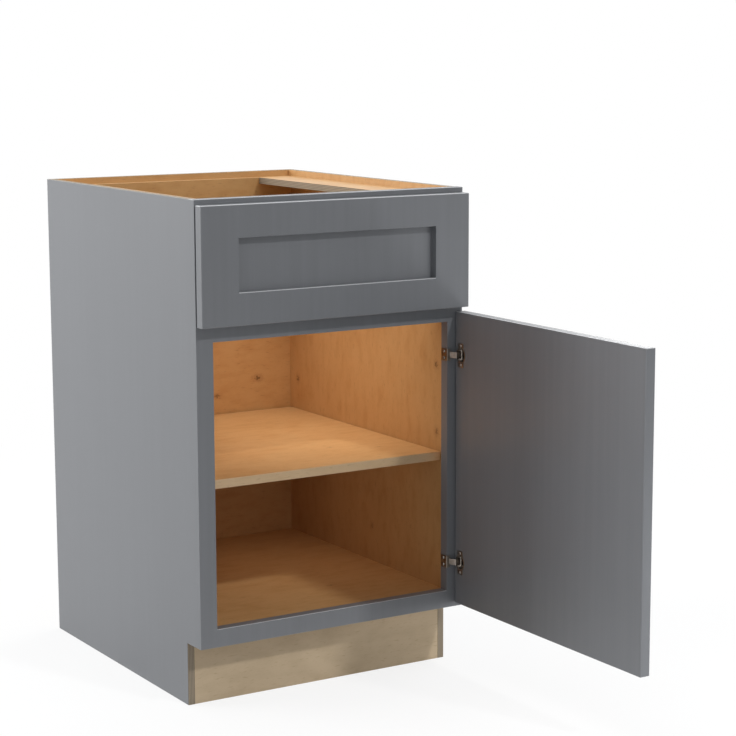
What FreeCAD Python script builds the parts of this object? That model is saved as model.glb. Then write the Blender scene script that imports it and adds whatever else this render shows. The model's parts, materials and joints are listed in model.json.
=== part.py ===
import FreeCAD, Part
import math
import os

# Kitchen base cabinet with one drawer over one door.
# X runs across the width, Y from the room (negative) to the wall (zero), Z up.
# The origin is at floor level, at the middle of the width, on the wall side of the back panel.
# The drawer is modelled closed and the door is modelled standing open at a right angle.

# Overall cabinet, wall to the front of the face frame, without the fronts
cabinet_width = 533.4
cabinet_height = 876.3
cabinet_depth = 609.6

# Carcass boards
panel_thickness = 12.7
back_thickness = 12.7
joint_share = 0.5
toe_height = 111.1
toe_depth = 50.8
toe_board_thickness = 12.7
bottom_below_rail = 6.0
brace_below_top = 12.0
brace_width = 74.0
brace_thickness = 12.7
hanging_rail_height = 76.2
hanging_rail_thickness = 12.7

# Face frame
frame_thickness = 19.05
frame_overhang_right = 4.8
stile_width = 31.75
top_rail_height = 38.1
middle_rail_height = 38.1
bottom_rail_height = 31.75
drawer_opening_height = 163.05

# Shelf and the pins it lies on
shelf_thickness = 15.9
shelf_above_bottom = 256.0
shelf_side_clearance = 1.0
shelf_behind_frame = 23.0
shelf_back_clearance = 3.0
shelf_pin_radius = 2.5
shelf_pin_wall = 3.7
shelf_pin_inset = 60.0
shelf_tab_length = 9.0
shelf_tab_width = 7.0
shelf_tab_height = 5.0

# Door and drawer front, each a frame of two stiles and two rails round a thin panel
front_thickness = 19.05
front_panel_thickness = 6.35
front_stile_width = 70.0
door_rail_height = 70.0
drawer_rail_height = 56.0
side_reveal = 0.8
top_reveal = 9.0
drawer_front_overlap = 10.8
reveal_between_fronts = 9.0
bottom_reveal = 8.0
groove_depth = 8.0
tongue_thickness = 3.0
tongue_end_clearance = 0.5

# Concealed hinge: cup in the door, arm on the face frame, one vertical pin
hinge_end_distance = 78.0
pivot_depth = 8.0
pivot_wall_clearance = 1.0
cup_radius = 13.0
cup_edge_distance = 3.0
cup_wall = 1.0
cup_floor_clearance = 0.5
cup_flange_thickness = 1.0
cup_flange_lip = 1.2
cup_flange_width = 18.0
cup_flange_height = 44.0
cup_flange_corner = 4.0
hinge_pin_radius = 1.0
barrel_wall = 1.0
arm_thickness = 1.4
arm_clearance = 0.3
arm_drop = 2.3
arm_plate_height = 22.0
arm_plate_length = 17.0
arm_neck_share = 0.72
arm_elbow_share = 0.33
arm_exit_share = 0.82
arm_screw_share = 0.28
door_rest_angle = 90.0

# Drawer box
drawer_side_clearance = 5.0
drawer_side_thickness = 15.9
drawer_top_clearance = 37.7
drawer_rear_gap = 66.5
drawer_bottom_thickness = 6.35
drawer_groove_depth = 6.0
drawer_tail_count = 4
tail_flare_share = 0.14
tail_width_share = 0.52
front_screw_inset = 5.0
front_screw_bite = 10.1
front_screw_shares = (0.3, 0.85)

# Undermount drawer slides: cabinet rail, middle channel, drawer channel, rollers between them
slide_floor_clearance = 1.0
slide_steel = 1.5
slide_centre_inset = 17.0
slide_web_height = 30.0
slide_rail_width = 14.0
slide_rail_height = 13.0
slide_side_gap = 2.0
slide_end_margin = 1.0
slide_overlap = 20.0
slide_front_setback = 2.0
slide_rear_gap = 45.0
slide_screw_share = 0.6
channel_floor_gap = 2.5
roller_radius = 1.5
roller_clearance = 0.2
roller_length = 9.0
roller_count = 7
cage_thickness = 1.2
cage_width = 12.0
cage_end_margin = 3.0
bracket_height = 50.0
bracket_overlap = 22.0
bracket_screw_shares = (0.2, 0.8)
bracket_bite_share = 0.8

# Clips that lock the drawer onto the slides, with their release levers
clip_length = 21.0
clip_width = 30.0
lever_length = 30.0
lever_width = 11.0
lever_thickness = 2.4
lever_gap = 0.3
lever_tab_drop = 2.0
lever_pin_radius = 2.0
lever_pin_head = 0.8
lever_floor_gap = 3.6

# Screws
screw_head_radius = 3.3
screw_head_height = 1.4
screw_head_chamfer = 0.7
screw_radius = 1.75
screw_length = 12.0
screw_slot_width = 0.8
screw_slot_depth = 0.7
screw_slot_share = 0.6

# Knife insert that drops into the drawer
insert_clearance = 1.5
insert_base_thickness = 5.0
finger_count = 18
knife_slot_width = 5.0
finger_height = 40.0
handle_gap = 83.5
finger_round = 18.0
spacer_height = 5.0
apron_length = 101.0
fence_thickness = 12.7
fence_height = 36.0

# General clearances
fit_clearance = 0.05
overrun = 1.0

# Places worked out from the sizes above
half_width = cabinet_width / 2
frame_front = -cabinet_depth
frame_back = frame_front + frame_thickness
back_face = -back_thickness
opening_half_width = half_width - stile_width
joint_depth = panel_thickness * joint_share
left_outer = -half_width
right_outer = half_width - frame_overhang_right
left_inner = left_outer + panel_thickness
right_inner = right_outer - panel_thickness
left_seat = left_inner - joint_depth
right_seat = right_inner + joint_depth
door_opening_bottom = toe_height + bottom_rail_height
drawer_opening_top = cabinet_height - top_rail_height
drawer_opening_bottom = drawer_opening_top - drawer_opening_height
door_opening_top = drawer_opening_bottom - middle_rail_height
bottom_top = door_opening_bottom - bottom_below_rail
bottom_underside = bottom_top - panel_thickness
brace_top = cabinet_height - brace_below_top
toe_front = frame_front + toe_depth

front_gap = cup_flange_thickness + max(arm_thickness, screw_head_height) + 2 * arm_clearance
front_back = frame_front - front_gap
front_face = front_back - front_thickness
front_half_width = half_width - side_reveal
drawer_front_top = cabinet_height - top_reveal
drawer_front_bottom = drawer_opening_bottom - drawer_front_overlap
door_top = drawer_front_bottom - reveal_between_fronts
door_bottom = toe_height + bottom_reveal
cup_centre_x = front_half_width - cup_edge_distance - cup_radius
cavity_radius = cup_radius - cup_wall
barrel_radius = hinge_pin_radius + barrel_wall
pivot_offset = cavity_radius - barrel_radius - pivot_wall_clearance
pivot_x = cup_centre_x + pivot_offset
pivot_y = front_back - pivot_depth
hinge_heights = [door_bottom + hinge_end_distance, door_top - hinge_end_distance]

roller_gap = 2 * (roller_radius + roller_clearance)
slide_bottom = drawer_opening_bottom + slide_floor_clearance
rail_top = slide_bottom + slide_rail_height
middle_top = rail_top + roller_gap + slide_steel
channel_top = middle_top + roller_gap + slide_steel
drawer_bottom_underside = channel_top
drawer_bottom_top = drawer_bottom_underside + drawer_bottom_thickness
lever_top = slide_bottom + slide_steel + lever_floor_gap + lever_tab_drop + lever_thickness
lever_bottom = lever_top - lever_thickness
clip_bottom = lever_top + lever_gap
drawer_box_bottom = clip_bottom + lever_gap
drawer_box_top = drawer_opening_top - drawer_top_clearance
drawer_half_width = opening_half_width - drawer_side_clearance
drawer_inner_half = drawer_half_width - drawer_side_thickness
drawer_box_front = front_back
drawer_box_front_inner = drawer_box_front + drawer_side_thickness
drawer_box_rear = back_face - drawer_rear_gap
drawer_box_rear_inner = drawer_box_rear - drawer_side_thickness
slide_centre = drawer_inner_half - slide_centre_inset
rail_half_width = slide_rail_width / 2
middle_half_width = rail_half_width + slide_side_gap + slide_steel
channel_half_width = middle_half_width + slide_side_gap + slide_steel
channel_front = drawer_box_front_inner + clip_length
channel_rear = drawer_box_rear - slide_end_margin
slide_travel = channel_rear - channel_front - slide_overlap
member_front = channel_front + slide_front_setback
channel_legs_bottom = slide_bottom + slide_steel + channel_floor_gap

parts = {}


def block(x0, x1, y0, y1, z0, z1):
    """A straight block between two limits on each axis."""
    low = FreeCAD.Vector(min(x0, x1), min(y0, y1), min(z0, z1))
    return Part.makeBox(abs(x1 - x0), abs(y1 - y0), abs(z1 - z0), low)


def rod(radius, start, end):
    """A round rod between two points."""
    axis = end - start
    return Part.makeCylinder(radius, axis.Length, start, axis)


def point(x, y, z):
    return FreeCAD.Vector(x, y, z)


def plan_bar(start, end, thickness, height, centre_z):
    """A flat bar seen from above, with round ends, between two plan points."""
    low = centre_z - height / 2
    high = centre_z + height / 2
    along = FreeCAD.Vector(end[0] - start[0], end[1] - start[1], 0)
    across = FreeCAD.Vector(-along.y, along.x, 0).normalize() * (thickness / 2)
    base = FreeCAD.Vector(start[0], start[1], low)
    corners = [base - across, base + along - across, base + along + across, base + across]
    bar = Part.Face(Part.makePolygon(corners + [corners[0]])).extrude(FreeCAD.Vector(0, 0, height))
    for x, y in (start, end):
        bar = bar.fuse(rod(thickness / 2, point(x, y, low), point(x, y, high)))
    return bar.removeSplitter()


def wood_screw(head_face, direction, length):
    """A round-head screw: the head's underside lies at head_face, the shank runs along direction."""
    direction = FreeCAD.Vector(direction).normalize()
    top = head_face - direction * screw_head_height
    head = rod(screw_head_radius, head_face, top)
    crown = [edge for edge in head.Edges if edge.Closed and edge.CenterOfMass.isEqual(top, fit_clearance)]
    head = head.makeChamfer(screw_head_chamfer, crown)
    screw = head.fuse(rod(screw_radius, head_face, head_face + direction * length))
    side = direction.cross(FreeCAD.Vector(0, 0, 1))
    if side.Length < fit_clearance:
        side = FreeCAD.Vector(1, 0, 0)
    side = side.normalize()
    other = direction.cross(side)
    for long_way, short_way in ((side, other), (other, side)):
        reach = long_way * (screw_head_radius * screw_slot_share)
        half = short_way * (screw_slot_width / 2)
        deep = top + direction * screw_slot_depth
        corners = [deep - reach - half, deep + reach - half, deep + reach + half, deep - reach + half]
        slot = Part.Face(Part.makePolygon(corners + [corners[0]]))
        screw = screw.cut(slot.extrude(direction * -(screw_slot_depth + overrun)))
    return screw


def screw_hole(head_face, direction, length):
    """The hole that a screw's shank sits in, with its fit clearance."""
    direction = FreeCAD.Vector(direction).normalize()
    start = head_face - direction * overrun
    return rod(screw_radius + fit_clearance, start, head_face + direction * (length + fit_clearance))


def open_to_rest(shape):
    """Turns a shape of the closed door about the hinge pins to where the door stands at rest."""
    turned = shape.copy()
    turned.rotate(point(pivot_x, pivot_y, 0), FreeCAD.Vector(0, 0, 1), door_rest_angle)
    return turned


# Screws of the carcass: hinge arms, slide fronts and slide brackets
hinge_screw_y = frame_front + frame_thickness / 2
arm_plate_face = opening_half_width - arm_thickness
hinge_screws = []
for height in hinge_heights:
    for side in (-1, 1):
        place = point(arm_plate_face, hinge_screw_y, height + side * arm_plate_height * arm_screw_share)
        hinge_screws.append((place, FreeCAD.Vector(1, 0, 0), screw_length))

slide_screws = []
bracket_screws = []
for side in (-1, 1):
    outward = FreeCAD.Vector(side, 0, 0)
    web_face = side * (opening_half_width - slide_steel)
    place = point(web_face, hinge_screw_y, slide_bottom + slide_web_height * slide_screw_share)
    slide_screws.append((place, outward, screw_length))
    bracket_top = slide_bottom + bracket_height / 2
    bracket_screw_length = slide_steel + back_thickness * bracket_bite_share
    for share in bracket_screw_shares:
        place = point(side * slide_centre, back_face - slide_steel, bracket_top - bracket_height * share)
        bracket_screws.append((place, FreeCAD.Vector(0, 1, 0), bracket_screw_length))


# Carcass
def side_panel(side, outer, inner, seat):
    """One outer side, with the toe notch, the dado for the bottom and the rabbet for the back."""
    panel = block(outer, inner, frame_back, 0, 0, cabinet_height)
    panel = panel.cut(block(outer + side * overrun, inner - side * overrun,
                            frame_back - overrun, toe_front, -overrun, toe_height))
    panel = panel.cut(block(inner - side * overrun, seat, frame_back - overrun, overrun,
                            bottom_underside, bottom_top))
    panel = panel.cut(block(inner - side * overrun, seat, back_face, overrun, -overrun,
                            cabinet_height + overrun))
    for y in shelf_pin_places:
        hole_start = point(inner - side * overrun, y, shelf_pin_height)
        hole_end = point(inner + side * (shelf_pin_depth + fit_clearance), y, shelf_pin_height)
        panel = panel.cut(rod(shelf_pin_radius + fit_clearance, hole_start, hole_end))
    return panel


shelf_top = bottom_top + shelf_above_bottom
shelf_underside = shelf_top - shelf_thickness
shelf_front = frame_back + shelf_behind_frame
shelf_rear = back_face - shelf_back_clearance
shelf_pin_height = shelf_underside - shelf_tab_height / 2
shelf_pin_depth = panel_thickness - shelf_pin_wall
shelf_pin_places = [shelf_front + shelf_pin_inset, shelf_rear - shelf_pin_inset]

parts["side_panel_left"] = side_panel(-1, left_outer, left_inner, left_seat)
parts["side_panel_right"] = side_panel(1, right_outer, right_inner, right_seat)

back_panel = block(left_seat, right_seat, back_face, 0, 0, cabinet_height)
for place, direction, length in bracket_screws:
    back_panel = back_panel.cut(screw_hole(place, direction, length))
parts["back_panel"] = back_panel

parts["bottom_panel"] = block(left_seat, right_seat, frame_back, back_face, bottom_underside, bottom_top)
parts["toe_board"] = block(left_inner, right_inner, toe_front, toe_front + toe_board_thickness, 0,
                           bottom_underside)

hanging_rail_front = back_face - hanging_rail_thickness
parts["hanging_rail"] = block(left_inner, right_inner, hanging_rail_front, back_face,
                              brace_top - hanging_rail_height, brace_top)
for name, side, wall in (("left", -1, left_inner), ("right", 1, right_inner)):
    parts["top_brace_" + name] = block(wall, wall - side * brace_width, frame_back, hanging_rail_front,
                                       brace_top - brace_thickness, brace_top)

# Face frame
for name, side in (("left", -1), ("right", 1)):
    stile = block(side * half_width, side * opening_half_width, frame_front, frame_back,
                  toe_height, cabinet_height)
    fixings = [screw for screw in slide_screws if screw[1].x * side > 0]
    if side > 0:
        fixings = fixings + hinge_screws
    for place, direction, length in fixings:
        stile = stile.cut(screw_hole(place, direction, length))
    parts["frame_stile_" + name] = stile

frame_rails = (("top", drawer_opening_top, cabinet_height),
               ("middle", door_opening_top, drawer_opening_bottom),
               ("bottom", toe_height, door_opening_bottom))
for name, low, high in frame_rails:
    parts["frame_rail_" + name] = block(-opening_half_width, opening_half_width,
                                        frame_front, frame_back, low, high)

# Shelf on four pins
parts["shelf"] = block(left_inner + shelf_side_clearance, right_inner - shelf_side_clearance,
                       shelf_front, shelf_rear, shelf_underside, shelf_top)
shelf_pins = []
for side, wall in ((-1, left_inner), (1, right_inner)):
    for y in shelf_pin_places:
        pin = rod(shelf_pin_radius, point(wall, y, shelf_pin_height),
                  point(wall + side * shelf_pin_depth, y, shelf_pin_height))
        tab = block(wall, wall - side * shelf_tab_length, y - shelf_tab_width / 2, y + shelf_tab_width / 2,
                    shelf_underside - shelf_tab_height, shelf_underside)
        shelf_pins.append(pin.fuse(tab))
parts["shelf_pins"] = Part.makeCompound(shelf_pins)


# Framed fronts
def framed_front(prefix, low, high, rail_height, stile_names):
    """Stiles, rails and the thin panel of a front that covers the face frame between two heights."""
    left = -front_half_width
    right = front_half_width
    inner_left = left + front_stile_width
    inner_right = right - front_stile_width
    inner_low = low + rail_height
    inner_high = high - rail_height
    tongue_front = front_back - front_panel_thickness
    tongue_back = tongue_front + tongue_thickness
    groove = block(inner_left - groove_depth, inner_right + groove_depth, tongue_front, tongue_back,
                   inner_low - groove_depth, inner_high + groove_depth)
    pieces = {}
    stile_sides = ((stile_names[0], left, inner_left, -1), (stile_names[1], inner_right, right, 1))
    for name, x0, x1, side in stile_sides:
        stile = block(x0, x1, front_face, front_back, low, high)
        inner = x1 if side < 0 else x0
        slot = block(inner, inner + side * groove_depth, tongue_front, tongue_back, low - overrun,
                     high + overrun)
        pieces[name] = stile.cut(slot)
    for name, z0, z1 in (("rail_bottom", low, inner_low), ("rail_top", inner_high, high)):
        rail = block(inner_left, inner_right, front_face, front_back, z0, z1)
        reach = groove_depth - tongue_end_clearance
        ends = block(inner_left - reach, inner_right + reach, tongue_front, tongue_back, z0, z1)
        pieces[name] = rail.fuse(ends).cut(groove).removeSplitter()
    panel = block(inner_left, inner_right, tongue_front, front_back, inner_low, inner_high)
    reach = groove_depth - tongue_end_clearance
    tongue = block(inner_left - reach, inner_right + reach, tongue_front, tongue_back,
                   inner_low - reach, inner_high + reach)
    pieces["panel"] = panel.fuse(tongue).removeSplitter()
    return {prefix + "_" + name: piece for name, piece in pieces.items()}


# Hinges, in the plan of the closed door round the pin
flange_face = front_back + cup_flange_thickness
cup_depth = pivot_depth + arm_drop + arm_thickness / 2 + cup_floor_clearance + cup_wall
cup_screw_offset = (cup_flange_height / 2 + cup_radius) / 2
barrel_half = math.sqrt(cavity_radius ** 2 - (pivot_offset + barrel_radius) ** 2) - pivot_wall_clearance
hinge_pin_half = math.sqrt(cup_radius ** 2 - (pivot_offset + hinge_pin_radius) ** 2) - fit_clearance
exit_reach = arm_exit_share * cavity_radius
link_half = math.sqrt(cavity_radius ** 2 - (exit_reach + arm_thickness / 2) ** 2) - arm_clearance


def hinge_cup(height):
    """The cup pressed into the door with its screw flange, still in the closed door's place."""
    bowl = rod(cup_radius, point(cup_centre_x, front_back - cup_depth, height),
               point(cup_centre_x, front_back, height))
    flange = rod(cup_radius + cup_flange_lip, point(cup_centre_x, front_back, height),
                 point(cup_centre_x, flange_face, height))
    wings = block(cup_centre_x - cup_flange_width / 2, cup_centre_x + cup_flange_width / 2, front_back,
                  flange_face, height - cup_flange_height / 2, height + cup_flange_height / 2)
    uprights = [edge for edge in wings.Edges if abs(edge.tangentAt(edge.FirstParameter).y) > 0.9]
    wings = wings.makeFillet(cup_flange_corner, uprights)
    cavity = rod(cavity_radius, point(cup_centre_x, front_back - cup_depth + cup_wall, height),
                 point(cup_centre_x, flange_face + overrun, height))
    pin_hole = rod(hinge_pin_radius + fit_clearance, point(pivot_x, pivot_y, height - cup_radius),
                   point(pivot_x, pivot_y, height + cup_radius))
    cup = bowl.fuse(flange).fuse(wings).removeSplitter().cut(cavity)
    for side in (-1, 1):
        inner = point(pivot_x, pivot_y, height + side * (barrel_half + arm_clearance))
        boss = rod(barrel_radius, inner, point(pivot_x, pivot_y, height + side * cup_radius))
        cup = cup.fuse(boss.common(bowl))
    cup = cup.cut(pin_hole)
    for side in (-1, 1):
        place = point(cup_centre_x, flange_face, height + side * cup_screw_offset)
        cup = cup.cut(screw_hole(place, FreeCAD.Vector(0, -1, 0), screw_length))
    return cup


def hinge_arm(height):
    """The arm from the pin, out of the cup, round the stile's corner and onto its inner edge."""
    pin = (pivot_x, pivot_y)
    elbow = (cup_centre_x - arm_elbow_share * cavity_radius, pivot_y - arm_drop)
    neck = (pivot_x + (elbow[0] - pivot_x) * arm_neck_share, pivot_y - arm_drop * arm_neck_share)
    gap_y = frame_front - arm_clearance - arm_thickness / 2
    plate_x = opening_half_width - arm_thickness / 2
    rise = (cup_centre_x - exit_reach, gap_y)
    corner = (plate_x, gap_y)
    plate_end = (plate_x, frame_front + arm_plate_length)
    arm = rod(barrel_radius, point(pivot_x, pivot_y, height - barrel_half),
              point(pivot_x, pivot_y, height + barrel_half))
    routes = ((pin, neck, 2 * barrel_half), (neck, elbow, 2 * link_half), (elbow, rise, 2 * link_half),
              (rise, corner, arm_plate_height), (corner, plate_end, arm_plate_height))
    for start, end, bar_height in routes:
        arm = arm.fuse(plan_bar(start, end, arm_thickness, bar_height, height))
    bore = rod(hinge_pin_radius + fit_clearance, point(pivot_x, pivot_y, height - cup_radius),
               point(pivot_x, pivot_y, height + cup_radius))
    arm = arm.removeSplitter().cut(bore)
    for place, direction, length in hinge_screws:
        arm = arm.cut(screw_hole(place, direction, length))
    return arm


door = framed_front("door", door_bottom, door_top, door_rail_height, ("stile_latch", "stile_hinge"))
hinge_pins = []
cup_screws = []
for name, height in zip(("lower", "upper"), hinge_heights):
    parts["hinge_arm_" + name] = hinge_arm(height)
    parts["hinge_cup_" + name] = open_to_rest(hinge_cup(height))
    hinge_pins.append(rod(hinge_pin_radius, point(pivot_x, pivot_y, height - hinge_pin_half),
                          point(pivot_x, pivot_y, height + hinge_pin_half)))
    bore_floor = front_back - cup_depth - fit_clearance
    bore = rod(cup_radius + fit_clearance, point(cup_centre_x, bore_floor, height),
               point(cup_centre_x, front_back + overrun, height))
    door["door_stile_hinge"] = door["door_stile_hinge"].cut(bore)
    for side in (-1, 1):
        place = point(cup_centre_x, flange_face, height + side * cup_screw_offset)
        inward = FreeCAD.Vector(0, -1, 0)
        cup_screws.append(open_to_rest(wood_screw(place, inward, screw_length)))
        door["door_stile_hinge"] = door["door_stile_hinge"].cut(screw_hole(place, inward, screw_length))
for name, piece in door.items():
    parts[name] = open_to_rest(piece)
parts["hinge_pins"] = Part.makeCompound(hinge_pins)
parts["hinge_cup_screws"] = Part.makeCompound(cup_screws)

# Drawer front
parts.update(framed_front("drawer_front", drawer_front_bottom, drawer_front_top, drawer_rail_height,
                          ("stile_left", "stile_right")))


# Drawer box
def tails(side, corner_y, outward, low, high):
    """Dovetails at one end of a drawer side, as a group of wedges that reach through the end board."""
    pitch = (high - low) / drawer_tail_count
    narrow = pitch * tail_width_share / 2
    wide = narrow + pitch * tail_flare_share
    tip_y = corner_y + outward * drawer_side_thickness
    wedges = []
    for index in range(drawer_tail_count):
        centre = low + pitch * (index + 0.5)
        x = side * drawer_inner_half
        corners = [point(x, corner_y, centre - narrow), point(x, tip_y, centre - wide),
                   point(x, tip_y, centre + wide), point(x, corner_y, centre + narrow)]
        face = Part.Face(Part.makePolygon(corners + [corners[0]]))
        wedges.append(face.extrude(FreeCAD.Vector(side * drawer_side_thickness, 0, 0)))
    return wedges


drawer_bottom = block(-drawer_inner_half - drawer_groove_depth, drawer_inner_half + drawer_groove_depth,
                      drawer_box_front_inner - drawer_groove_depth, drawer_box_rear,
                      drawer_bottom_underside, drawer_bottom_top)
parts["drawer_bottom"] = drawer_bottom

front_board = block(-drawer_half_width, drawer_half_width, drawer_box_front, drawer_box_front_inner,
                    drawer_box_bottom, drawer_box_top).cut(drawer_bottom)
back_board = block(-drawer_half_width, drawer_half_width, drawer_box_rear_inner, drawer_box_rear,
                   drawer_bottom_top, drawer_box_top)
for name, side in (("left", -1), ("right", 1)):
    inner = side * drawer_inner_half
    outer = side * drawer_half_width
    board = block(inner, outer, drawer_box_front_inner, drawer_box_rear_inner, drawer_box_bottom,
                  drawer_box_top)
    board = board.fuse(block(inner, outer, drawer_box_rear_inner, drawer_box_rear, drawer_box_bottom,
                             drawer_bottom_top))
    front_tails = tails(side, drawer_box_front_inner, -1, drawer_box_bottom, drawer_box_top)
    back_tails = tails(side, drawer_box_rear_inner, 1, drawer_bottom_top, drawer_box_top)
    for wedge in front_tails + back_tails:
        board = board.fuse(wedge)
    for wedge in front_tails:
        front_board = front_board.cut(wedge)
    for wedge in back_tails:
        back_board = back_board.cut(wedge)
    parts["drawer_side_" + name] = board.cut(drawer_bottom).removeSplitter()
parts["drawer_box_back"] = back_board

front_screws = []
front_screw_length = drawer_side_thickness + front_screw_bite
for side in (-1, 1):
    for share in front_screw_shares:
        place = point(side * (drawer_inner_half - front_screw_inset), drawer_box_front_inner,
                      drawer_box_bottom + (drawer_box_top - drawer_box_bottom) * share)
        toward_room = FreeCAD.Vector(0, -1, 0)
        front_screws.append(wood_screw(place, toward_room, front_screw_length))
        hole = screw_hole(place, toward_room, front_screw_length)
        front_board = front_board.cut(hole)
        stile = "drawer_front_stile_left" if side < 0 else "drawer_front_stile_right"
        parts[stile] = parts[stile].cut(hole)
parts["drawer_box_front"] = front_board
parts["drawer_front_screws"] = Part.makeCompound(front_screws)


# Drawer slides
def slide_channel(centre, half, top, front, rear, legs_bottom):
    """A steel channel with its web on top and its legs down, running front to rear."""
    outer = block(centre - half, centre + half, front, rear, legs_bottom, top)
    inside = block(centre - half + slide_steel, centre + half - slide_steel, front - overrun,
                   rear + overrun, legs_bottom - overrun, top - slide_steel)
    return outer.cut(inside)


def roller_cage(centre, gap_bottom):
    """A flat cage with its rollers, in the gap between two slide members."""
    front = member_front + slide_travel / 4 + cage_end_margin
    rear = channel_rear - slide_travel / 4 - cage_end_margin
    middle = gap_bottom + roller_gap / 2
    strip = block(centre - cage_width / 2, centre + cage_width / 2, front, rear,
                  middle - cage_thickness / 2, middle + cage_thickness / 2)
    pitch = (rear - front) / roller_count
    rollers = []
    half_length = roller_length / 2
    window_length = half_length + roller_clearance
    window_width = roller_radius + roller_clearance
    for index in range(roller_count):
        y = front + pitch * (index + 0.5)
        strip = strip.cut(block(centre - window_length, centre + window_length, y - window_width,
                                y + window_width, middle - roller_gap, middle + roller_gap))
        rollers.append(rod(roller_radius, point(centre - half_length, y, middle),
                           point(centre + half_length, y, middle)))
    return strip, rollers


brackets = []
cages = {"outer": [], "inner": []}
rollers = {"outer": [], "inner": []}
rail_rear = -slide_rear_gap
for name, side in (("left", -1), ("right", 1)):
    centre = side * slide_centre
    web_outer = side * opening_half_width
    web_inner = side * (opening_half_width - slide_steel)
    floor_inner = side * (slide_centre - channel_half_width)
    web = block(web_outer, web_inner, frame_front + slide_front_setback, rail_rear, slide_bottom,
                slide_bottom + slide_web_height)
    floor = block(web_outer, floor_inner, frame_front + slide_front_setback, rail_rear, slide_bottom,
                  slide_bottom + slide_steel)
    rail = slide_channel(centre, rail_half_width, rail_top, member_front, rail_rear, slide_bottom)
    member = web.fuse(floor).fuse(rail).removeSplitter()
    for place, direction, length in slide_screws:
        member = member.cut(screw_hole(place, direction, length))
    parts["slide_cabinet_member_" + name] = member
    parts["slide_middle_member_" + name] = slide_channel(
        centre, middle_half_width, middle_top, member_front, channel_rear, channel_legs_bottom)
    parts["slide_drawer_member_" + name] = slide_channel(
        centre, channel_half_width, channel_top, channel_front, channel_rear, channel_legs_bottom)
    for key, gap_bottom in (("outer", rail_top), ("inner", middle_top)):
        strip, strip_rollers = roller_cage(centre, gap_bottom)
        cages[key].append(strip)
        rollers[key] += strip_rollers
    plate = block(web_outer, floor_inner, back_face - slide_steel, back_face,
                  slide_bottom - bracket_height / 2, slide_bottom + bracket_height / 2)
    ledge = block(web_outer, floor_inner, rail_rear - bracket_overlap, back_face,
                  slide_bottom - slide_steel, slide_bottom)
    bracket = plate.fuse(ledge).removeSplitter()
    for place, direction, length in bracket_screws:
        bracket = bracket.cut(screw_hole(place, direction, length))
    brackets.append(bracket)
parts["slide_rear_brackets"] = Part.makeCompound(brackets)
for key in ("outer", "inner"):
    parts["roller_cages_" + key] = Part.makeCompound(cages[key])
    parts["slide_rollers_" + key] = Part.makeCompound(rollers[key])
carcass_fixings = hinge_screws + slide_screws + bracket_screws
parts["carcass_screws"] = Part.makeCompound([wood_screw(*fixing) for fixing in carcass_fixings])

# Clips under the drawer's front corners, each with a sprung release lever on a vertical stub
for name, side in (("left", -1), ("right", 1)):
    centre = side * slide_centre
    clip = block(centre - clip_width / 2, centre + clip_width / 2, drawer_box_front_inner, channel_front,
                 clip_bottom, drawer_bottom_underside)
    stub_y = channel_front - lever_width / 2
    stub_end = lever_bottom - lever_gap
    stub = rod(lever_pin_radius, point(centre, stub_y, stub_end), point(centre, stub_y, clip_bottom))
    stub_head = rod(lever_pin_radius + lever_pin_head, point(centre, stub_y, stub_end - lever_pin_head),
                    point(centre, stub_y, stub_end))
    parts["drawer_clip_" + name] = clip.fuse(stub).fuse(stub_head).removeSplitter()
    tip_y = stub_y - lever_length + lever_width / 2
    lever = plan_bar((centre, stub_y), (centre, tip_y), lever_width, lever_thickness,
                     (lever_top + lever_bottom) / 2)
    tab = rod(lever_width / 2, point(centre, tip_y, lever_bottom - lever_tab_drop),
              point(centre, tip_y, lever_bottom))
    bore = rod(lever_pin_radius + fit_clearance, point(centre, stub_y, lever_bottom - overrun),
               point(centre, stub_y, lever_top + overrun))
    parts["clip_lever_" + name] = lever.fuse(tab).removeSplitter().cut(bore)

# Knife insert
insert_half_width = drawer_inner_half - insert_clearance
insert_front = drawer_box_front_inner + screw_head_height + insert_clearance
insert_rear = drawer_box_rear_inner - insert_clearance
insert_floor = drawer_bottom_top + insert_base_thickness
parts["knife_insert_base"] = block(-insert_half_width, insert_half_width, insert_front, insert_rear,
                                   drawer_bottom_top, insert_floor)
fence_front = insert_front + apron_length
parts["knife_insert_fence"] = block(-insert_half_width, insert_half_width, fence_front,
                                    fence_front + fence_thickness, insert_floor,
                                    insert_floor + fence_height)
finger_width = (2 * insert_half_width - (finger_count - 1) * knife_slot_width) / finger_count
finger_front = fence_front + fence_thickness + handle_gap
fingers = []
spacers = []
for index in range(finger_count):
    left = -insert_half_width + index * (finger_width + knife_slot_width)
    right = left + finger_width
    finger = block(left, right, finger_front, insert_rear, insert_floor, insert_floor + finger_height)
    nose = [edge for edge in finger.Edges
            if abs(edge.CenterOfMass.y - finger_front) < fit_clearance
            and abs(edge.CenterOfMass.z - insert_floor - finger_height) < fit_clearance]
    fingers.append(finger.makeFillet(min(finger_round, finger_height / 2), nose))
    if index + 1 < finger_count:
        spacers.append(block(right, right + knife_slot_width, finger_front, insert_rear, insert_floor,
                             insert_floor + spacer_height))
parts["knife_block_fingers"] = Part.makeCompound(fingers)
parts["knife_block_spacers"] = Part.makeCompound(spacers)

os.makedirs("parts", exist_ok=True)
for name, shape in sorted(parts.items()):
    shape.exportStep("parts/" + name + ".step")
    print(name, "solids:", len(shape.Solids), "valid:", shape.isValid())
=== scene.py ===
import itertools
import json
import math

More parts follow.
